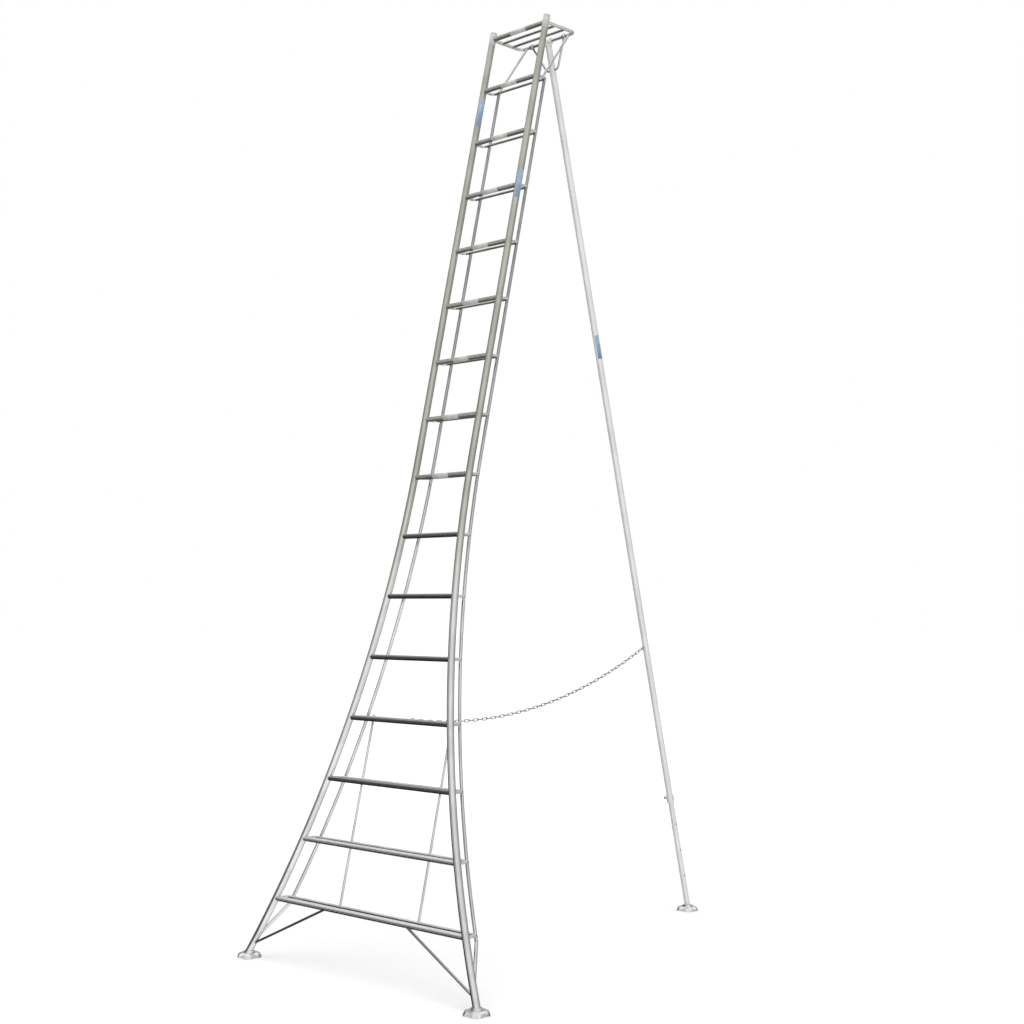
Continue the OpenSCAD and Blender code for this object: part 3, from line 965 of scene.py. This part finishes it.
@dataclass
class Labels:
    """Blank films where printed labels sit: bands on the tubes and patches on the rungs."""

    film: float = 0.00016
    patch_half: float = 0.055
    first_patched_rung: int = 8
    left_band: Span = (4.295, 4.455)
    right_band: Span = (3.825, 3.975)
    leg_band: Span = (1.562, 1.688)
    band_facing: Triple = (0.98, 0.2, 0)
    band_sweep: float = math.radians(150)
    patch_facing: Triple = (0, -1, 0.2)
    patch_sweep: float = math.radians(230)
    steps: int = 24

    def wrap(self, piece: Piece, low: Vector, high: Vector, radius: float, middle: Triple,
             sweep: float) -> None:
        """Wraps one film round part of a tube.

        Args:
            piece: The piece that the film belongs to.
            low: Point of the tube's axis at one edge of the film.
            high: Point of the axis at the other edge.
            radius: Radius of the tube.
            middle: Direction that the middle of the film faces.
            sweep: Angle that the film covers, in radians.
        """
        axis = (high - low).normalized()
        facing = Vector(middle)
        facing = (facing - axis * facing.dot(axis)).normalized()
        out = Matrix.Rotation(-sweep / 2, 3, axis) @ facing * (radius + self.film)
        verts = [piece.bm.verts.new(end + out) for end in (low, high)]
        edge = piece.bm.edges.new(verts)
        start = len(piece.bm.faces)
        piece.swing([edge], low, axis, self.steps, sweep)
        piece.bm.faces.ensure_lookup_table()
        faces = piece.bm.faces[start:]
        bmesh.ops.recalc_face_normals(piece.bm, faces=faces)
        bmesh.ops.solidify(piece.bm, geom=faces, thickness=self.film)

    def build(self) -> None:
        """Makes the bands and patches."""
        left, right = ([SLOPE.stile(s, side) for s in band] for side, band in
                       zip(SIDES, (self.left_band, self.right_band)))
        leg = [LEG.at(drop) for drop in self.leg_band]
        for name, body, radius, (low, high) in (
                ("left_stile_film", Body.FRONT, SLOPE.stile_r, left),
                ("right_stile_film", Body.FRONT, SLOPE.stile_r, right),
                ("leg_film", Body.LEG, LEG.tube_r, leg)):
            band = Piece(name)
            self.wrap(band, low, high, radius, self.band_facing, self.band_sweep)
            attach(band.finish(BLUE_FILM, Slot.TUBE), body.value)
        patches = Piece("rung_films")
        for rung in [*RUNGS[self.first_patched_rung - 1:], "platform_rung"]:
            low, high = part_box(rung)
            middle = centre(rung)
            reach = ACROSS * self.patch_half
            self.wrap(patches, middle - reach, middle + reach, (high.z - low.z) / 2,
                      self.patch_facing, self.patch_sweep)
        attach(patches.finish(PALE_FILM, Slot.TREAD), Body.FRONT.value)


@dataclass
class TieChain:
    """Interlinked wire links from the fourth tread to the leg, placed on the CAD links."""

    wire_r: float = 0.002
    bend_r: float = 0.006
    sides: int = 10
    steps: int = 22
    joint: str = "leg_fold"
    merge: float = 0.00001

    def places(self) -> list[Vector]:
        """Middles of the CAD chain's links, from the front end to the leg.

        Returns:
            One point for each link.
        """
        copy = bmesh.new()
        copy.from_mesh(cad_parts["chain"].data)
        bmesh.ops.remove_doubles(copy, verts=copy.verts[:], dist=self.merge)
        left = set(copy.verts)
        found = []
        while left:
            island, edge = set(), [left.pop()]
            while edge:
                vert = edge.pop()
                island.add(vert)
                near = {e.other_vert(vert) for e in vert.link_edges} & left
                left -= near
                edge.extend(near)
            corners = [[f(v.co[i] for v in island) for i in range(3)] for f in (min, max)]
            found.append((Vector(corners[0]) + Vector(corners[1])) / 2)
        copy.free()
        return sorted(found, key=lambda p: p.y)

    def link(self, piece: Piece, at: Vector, along: Vector, flat: bool, run: float) -> None:
        """Makes one link: a torus pulled apart into an oval.

        Args:
            piece: The chain.
            at: Middle of the link.
            along: Direction of the chain there.
            flat: Whether the link lies flat or stands on edge.
            run: Length of the link's straight sides.
        """
        start = len(piece.bm.verts)
        side = ACROSS if flat else along.cross(ACROSS).normalized()
        normal = side.cross(along)
        first = Matrix.Rotation(math.pi / self.steps, 3, normal) @ side
        edges = piece.ring(at + first * self.bend_r, normal.cross(first), first, self.wire_r,
                           self.sides)
        piece.swing(edges, at, normal, self.steps)
        for vert in piece.newest(start):
            vert.co += along * math.copysign(run / 2, (vert.co - at).dot(along))

    def build(self) -> None:
        """Makes the chain on the CAD links' places and hides the CAD chain."""
        chain = Piece("tie_chain")
        places = self.places()
        pitch = sum((b - a).length for a, b in zip(places, places[1:])) / (len(places) - 1)
        run = pitch + 2 * self.wire_r - 2 * self.bend_r
        for i, at in enumerate(places):
            ahead = places[min(i + 1, len(places) - 1)] - places[max(i - 1, 0)]
            self.link(chain, at, ahead.normalized(), i % 2 == 0, run)
        made = chain.finish(ZINC_FINISH, Slot.CHAIN)
        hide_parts("chain")
        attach(made, Body.FRONT.value)
        # The end links touch their eyes half a pitch beyond their middles.
        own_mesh(made)


@dataclass
class Yoke:
    """Bent rod through the leg with an eye at each end on the platform's rear bar."""

    rod_r: float = 0.0055
    bend: float = 0.024
    foot_half: float = 0.0375
    drop: float = 0.150
    eye_half: float = 0.115
    eye_r: float = 0.014
    bore_r: float = 0.00908
    eye_w: float = 0.020
    edge: float = 0.0015

    def build(self) -> None:
        """Makes the rod and its two eyes in place of the CAD yoke."""
        piece = Piece("bent_yoke")
        eyes = [LEG.at(0.0, side * self.eye_half) for side in SIDES]
        feet = [LEG.at(self.drop, side * self.foot_half) for side in SIDES]
        ends = [eye + (foot - eye).normalized() * (self.eye_r - self.edge)
                for eye, foot in zip(eyes, feet)]
        piece.rod([ends[0], *feet, ends[1]], self.rod_r, self.bend)
        half = self.eye_w / 2
        corners = [(self.bore_r, half - self.edge), (self.bore_r + self.edge, half),
                   (self.eye_r - self.edge, half), (self.eye_r, half - self.edge)]
        outline = [(radius, -height) for radius, height in corners] + corners[::-1]
        for eye in eyes:
            piece.lathe(eye, ACROSS, outline)
        made = piece.finish(BAR_FINISH, Slot.TUBE)
        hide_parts("leg_yoke")
        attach(made, Body.LEG.value)


@dataclass
class TopSleeves:
    """Pale moulded sleeves over the stiles' upper ends."""

    low_s: float = 4.762
    top_gap: float = 0.013
    wall: float = 0.0007
    sunk: float = 0.0004
    edge: float = 0.0005

    def build(self) -> None:
        """Turns both sleeves round the stile tops."""
        piece = Piece("stile_sleeves")
        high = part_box("stile_caps")[1].z / SLOPE.cos - self.top_gap
        inner, outer = SLOPE.stile_r - self.sunk, SLOPE.stile_r + self.wall
        length = high - self.low_s
        outline = [(inner, 0), (outer - self.edge, 0), (outer, self.edge),
                   (outer, length - self.edge), (outer - self.edge, length), (inner, length)]
        for side in SIDES:
            piece.lathe(SLOPE.stile(self.low_s, side), SLOPE.stile_axis(self.low_s, side), outline)
        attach(piece.finish(CAP_FINISH, Slot.CAP), Body.FRONT.value)


@dataclass(frozen=True)
class Flag:
    """A dark card that only metal sees.

    Each span says from which value of one part of a direction the card starts to show, and
    at which it shows in full.
    """

    dark: float
    right: Span | None = None
    ahead: Span | None = None
    up: Span | None = None
    upper_edge: Span | None = None

    def cover(self, right: Value, ahead: Value, up: Value) -> Value:
        """How far the card fills a direction, from 0 to 1."""
        spans = ((right, self.right), (ahead, self.ahead), (up, self.up), (up, self.upper_edge))
        return math.prod(part.ramp(*span) for part, span in spans if span)


LEFT_FLAG = Flag(0.95, right=(-0.15, -0.5), ahead=(-0.84, -0.42), up=(0.6, 0.3))
OTHER_FLAGS = {
    "far": Flag(0.65, ahead=(0.1, 0.55), up=(0.55, 0.2)),
    "right": Flag(0.5, right=(0.4, 0.9), up=(-0.1, 0.05), upper_edge=(0.2, 0.1)),
    "right_high": Flag(0.45, right=(0.5, 0.95), up=(0.05, 0.4)),
    "ceiling": Flag(0.22, ahead=(-0.1, -0.7), up=(0.3, 0.75)),
    "right_wall": Flag(0.15, right=(0.4, 0.95)),
    "left_wall": Flag(0.15, right=(-0.4, -0.95)),
}


@dataclass
class Studio:
    """White floor and background, soft light and the camera of the photograph."""

    camera_at: Triple = (5.6271, -5.9463, 1.7176)
    azimuth: float = 44.366
    pitch: float = 3.301
    lens: float = 55.98
    sensor: float = 36.0
    clip: float = 200.0
    floor_half: float = 60.0
    paper: Colour = (0.8, 0.8, 0.8, 1)
    near_glow: float = 0.185
    far_glow: float = 0.25
    glow_reach: Span = (2.0, 6.0)
    ambient: float = 0.85
    slit_low: Span = (0.06, 0.18)
    slit_high: Span = (0.46, 0.34)
    slit_light: float = 0.5
    slit_limit: float = 0.05
    lamp_at: Triple = (2.0, -3.0, 9.5)
    lamp_aim: Triple = (0, 0, 2.4)
    lamp_size: float = 7.0
    lamp_power: float = 300.0

    def camera(self) -> None:
        """Sets the camera."""
        data = bpy.data.cameras.new("camera")
        data.lens = self.lens
        data.sensor_width = self.sensor
        data.clip_end = self.clip
        made = add_object("camera", data)
        made.location = self.camera_at
        made.rotation_euler = (math.radians(90 + self.pitch), 0, math.radians(self.azimuth))
        bpy.context.scene.camera = made

    def floor(self) -> None:
        """Lays the white floor, which takes soft shadows and is left out of mirror images."""
        piece = bmesh.new()
        bmesh.ops.create_grid(piece, x_segments=1, y_segments=1, size=self.floor_half)
        mesh = bpy.data.meshes.new("floor")
        piece.to_mesh(mesh)
        piece.free()
        made = add_object("floor", mesh)
        paper = bpy.data.materials.new("white_paper")
        paper.use_nodes = True
        graph = Graph(paper.node_tree)
        camera, glossy, through = self.rays(graph, "Is Camera Ray", "Is Glossy Ray",
                                            "Is Transmission Ray")
        seen = camera.at_least(glossy).at_least(through)
        matt = graph.node("ShaderNodeBsdfDiffuse", None, {"Color": self.paper})
        x, y, _ = graph.place()
        reach = (x * x + y * y).root()
        lift = seen * (reach.ramp(*self.glow_reach) * self.far_glow + self.near_glow)
        glow = graph.node("ShaderNodeEmission", None, {"Color": WHITE, "Strength": lift})
        both = graph.node("ShaderNodeAddShader", None, [matt, glow])
        graph.node("ShaderNodeOutputMaterial", None, {"Surface": both})
        mesh.materials.append(paper)
        made.visible_glossy = False

    def rays(self, graph: Graph, *kinds: str) -> list[Value]:
        """One or zero for each of these outputs of a Light Path node."""
        path = graph.node("ShaderNodeLightPath").socket.node
        return [Value(graph, path.outputs[kind]) for kind in kinds]

    def sight(self, graph: Graph) -> tuple[Value, Value, Value]:
        """The parts of a direction to the camera's right, ahead of it and upward."""
        x, y, up = graph.split(graph.node("ShaderNodeTexCoord", None, None, "Generated"))
        turn = math.radians(self.azimuth)
        cos, sin = math.cos(turn), math.sin(turn)
        return x * cos + y * sin, y * cos - x * sin, up

    def flags(self, graph: Graph) -> Value:
        """Brightness that metal sees past the flags and a slit in the left one; 1 is white."""
        sight = right, _, up = self.sight(graph)
        slope = up / (right * -1).at_least(self.slit_limit)
        slit = slope.ramp(*self.slit_low) * slope.ramp(*self.slit_high)
        left = LEFT_FLAG.cover(*sight) * (LEFT_FLAG.dark - slit * self.slit_light)
        others = (1 - flag.cover(*sight) * flag.dark for flag in OTHER_FLAGS.values())
        return math.prod(others, start=1 - left)

    def sky(self) -> None:
        """Sets the world: white behind the object, with dark flags that metal reflects."""
        world = bpy.data.worlds.new("studio")
        bpy.context.scene.world = world
        world.use_nodes = True
        graph = Graph(world.node_tree)
        camera, glossy = self.rays(graph, "Is Camera Ray", "Is Glossy Ray")
        shade = glossy * self.flags(graph) + (1 - glossy) * self.ambient
        level = camera + (1 - camera) * shade
        light = graph.node("ShaderNodeBackground", None, {"Color": WHITE, "Strength": level})
        graph.node("ShaderNodeOutputWorld", None, {"Surface": light})

    def lamp(self) -> None:
        """Hangs one large soft lamp above and in front of the object."""
        data = bpy.data.lights.new("overhead", "AREA")
        data.shape = "RECTANGLE"
        data.size = data.size_y = self.lamp_size
        data.energy = self.lamp_power
        made = add_object("overhead", data)
        made.location = self.lamp_at
        aim = Vector(self.lamp_aim) - made.location
        made.rotation_euler = aim.to_track_quat("-Z", "Y").to_euler()
        made.visible_glossy = False

    def build(self) -> None:
        """Builds the whole studio."""
        bpy.context.scene.view_settings.view_transform = "Standard"
        self.camera()
        self.floor()
        self.sky()
        self.lamp()


def dress_nodes() -> None:
    """Gives every CAD node its finish."""
    finishes: dict[Finish, list[str]] = {
        STILE_FINISH: ["left_stile", "right_stile"],
        RAIL_FINISH: ["left_rail", "right_rail", "rail_heels", "truss_rods"],
        PAINTED_SHADE_BRACE_FINISH: ["foot_braces"],
        TREAD_FINISH: [*RUNGS, "platform_rung"],
        BAR_FINISH: [*BARS, "platform_braces"],
        PLATFORM_FINISH: ["platform_frame", "platform_slats"],
        CAP_FINISH: ["stile_caps"],
        FOOT_FINISH: ["front_foot_flanges", "left_claw_foot", "right_claw_foot", "rear_foot_flange",
                      "rear_claw_foot"],
        STEEL_FINISH: ["front_foot_bolts", "rear_foot_bolt", "lock_pin", "pin_knob"],
        ZINC_FINISH: ["rung_chain_eye", "leg_chain_eye", "chain"],
        LEG_FINISH: ["leg_head", "leg_tube", "leg_yoke", "leg_collar", "lower_tube"],
    }
    for finish, nodes in finishes.items():
        for node in nodes:
            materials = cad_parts[node].data.materials
            materials.clear()
            materials.append(finish.material())
        LOG.info("%s on %s", finish.name, ", ".join(nodes))


def main() -> None:
    """Builds the studio and every piece in order."""
    logging.basicConfig(level=logging.INFO, format="%(name)s: %(message)s")
    Studio().build()
    dress_nodes()
    welds = Welds()
    welds.treads()
    welds.braces()
    welds.platform()
    welds.leg()
    welds.feet()
    Labels().build()
    TieChain().build()
    Yoke().build()
    TopSleeves().build()


if __name__ == "__main__":
    main()
